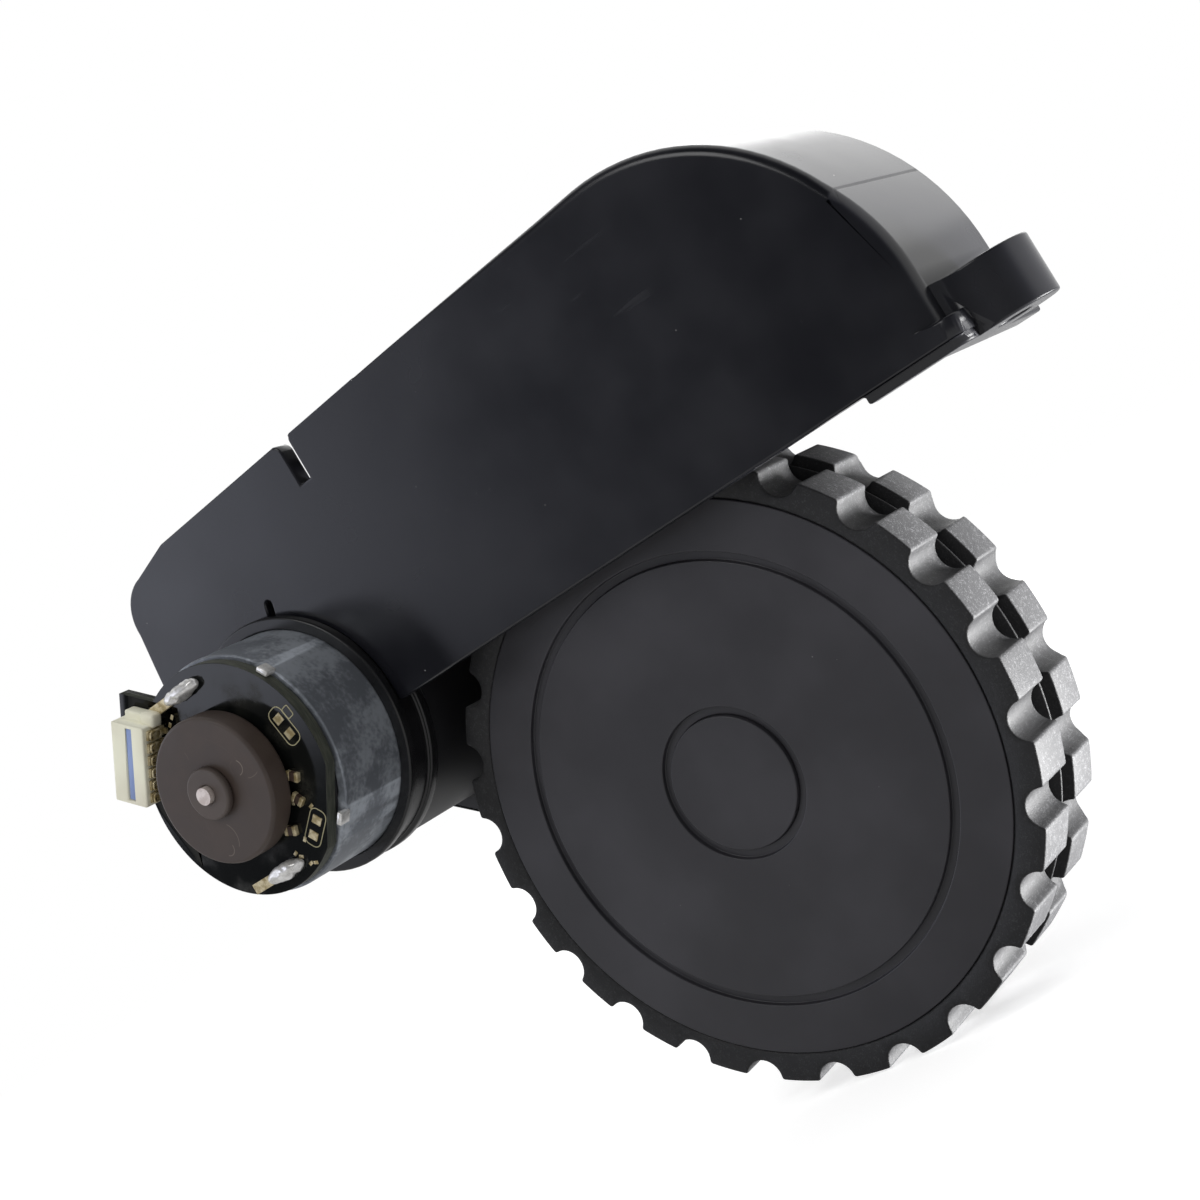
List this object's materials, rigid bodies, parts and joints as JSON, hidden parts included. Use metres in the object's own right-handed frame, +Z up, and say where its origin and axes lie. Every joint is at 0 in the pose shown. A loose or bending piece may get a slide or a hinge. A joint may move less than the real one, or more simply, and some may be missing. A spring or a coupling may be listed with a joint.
{
  "type": "robot vacuum wheel module",
  "caption": "Sprung drive wheel module with a scalloped rubber tyre, side shroud, round gearmotor in a swing arm barrel and a speed sensing magnet board.",
  "frame": {"origin": "middle of the screw hole in the front ear", "axes": "+Z up, along the hole; +Y across the wheel from the open face towards the gearbox; +X along the shroud towards the wheel end"},
  "size_m": [0.1225, 0.0666, 0.093],
  "materials": {
    "acetal_white": "natural acetal",
    "black_gloss": "glossy black ABS moulding with fine dust",
    "black_matte": "black moulded plastic, satin",
    "board_black": "black solder mask on glass fibre board",
    "brass": "brass",
    "bronze": "sintered bronze",
    "chip_black": "epoxy package",
    "contact_gold": "gold coloured terminals",
    "copper": "enamelled copper",
    "core_steel": "laminated steel",
    "cream_plastic": "cream nylon",
    "dark_ferrite": "ferrite and carbon",
    "grey_matte": "dark grey matt plastic",
    "hub_grey": "grey brown plastic",
    "magnet_brown": "bonded magnet, dark brown, scuffed",
    "polished_steel": "ground steel",
    "screw_steel": "zinc plated steel",
    "solder": "bright solder",
    "spring_steel": "spring steel",
    "tyre_rubber": "black rubber, speckled",
    "zinc_steel": "zinc plated deep drawn steel, mottled"
  },
  "bodies": {
    "base": {"shroud": "black_gloss", "inner_bracket": "black_matte", "bracket_screws": "screw_steel", "suspension_spring": "spring_steel"},
    "arm": {"gearbox_case": "black_matte", "gearbox_cover": "black_matte", "cover_screws": "screw_steel", "motor_can": "zinc_steel", "motor_end_cap": "black_matte", "motor_bushes": "bronze", "motor_screws": "screw_steel", "stator_magnets": "dark_ferrite", "motor_brushes": "dark_ferrite", "gear_pins": "screw_steel", "axle_bushes": "bronze", "circuit_board": "board_black", "motor_terminals": "contact_gold", "solder_joints": "solder", "board_chips": "chip_black", "board_pads": "contact_gold", "connector_housing": "cream_plastic", "connector_contacts": "contact_gold"},
    "rotor": {"motor_shaft": "polished_steel", "armature_core": "core_steel", "armature_windings": "copper", "commutator": "copper", "motor_pinion": "brass", "encoder_magnet": "magnet_brown", "encoder_hub": "hub_grey"},
    "first_stage": {"first_gear": "acetal_white"},
    "second_stage": {"second_gear": "acetal_white"},
    "wheel": {"output_gear": "acetal_white", "wheel_axle": "polished_steel", "axle_clip": "spring_steel", "thrust_washer": "polished_steel", "wheel_rim": "grey_matte", "tyre": "tyre_rubber", "hub_cap": "grey_matte", "axle_screw": "screw_steel"}
  },
  "joints": [
    {"name": "arm_swing", "type": "hinge", "parent": "base", "child": "arm", "pos_m": [-0.0967, -0.0077, -0.0005], "axis": [0, -1, 0], "range_deg": [0, 24], "stiffness_Nm_per_rad": 0.24, "springref_deg": -47.56, "deforming": ["suspension_spring"]},
    {"name": "wheel_spin", "type": "hinge", "parent": "arm", "child": "wheel", "pos_m": [-0.05196, 0.0043, -0.02835], "axis": [0, 1, 0], "continuous": true},
    {"name": "second_stage_spin", "type": "hinge", "parent": "arm", "child": "second_stage", "pos_m": [-0.07132, 0.0193, -0.0163], "axis": [0, 1, 0], "continuous": true},
    {"name": "first_stage_spin", "type": "hinge", "parent": "arm", "child": "first_stage", "pos_m": [-0.08609, 0.0193, -0.00711], "axis": [0, 1, 0], "continuous": true},
    {"name": "rotor_spin", "type": "hinge", "parent": "arm", "child": "rotor", "pos_m": [-0.0967, -0.0077, -0.0005], "axis": [0, 1, 0], "continuous": true}
  ],
  "couplings": [
    {"joint": "second_stage_spin", "follows": "wheel_spin", "ratio": -3.75},
    {"joint": "first_stage_spin", "follows": "wheel_spin", "ratio": 14.375},
    {"joint": "rotor_spin", "follows": "wheel_spin", "ratio": -57.5}
  ]
}
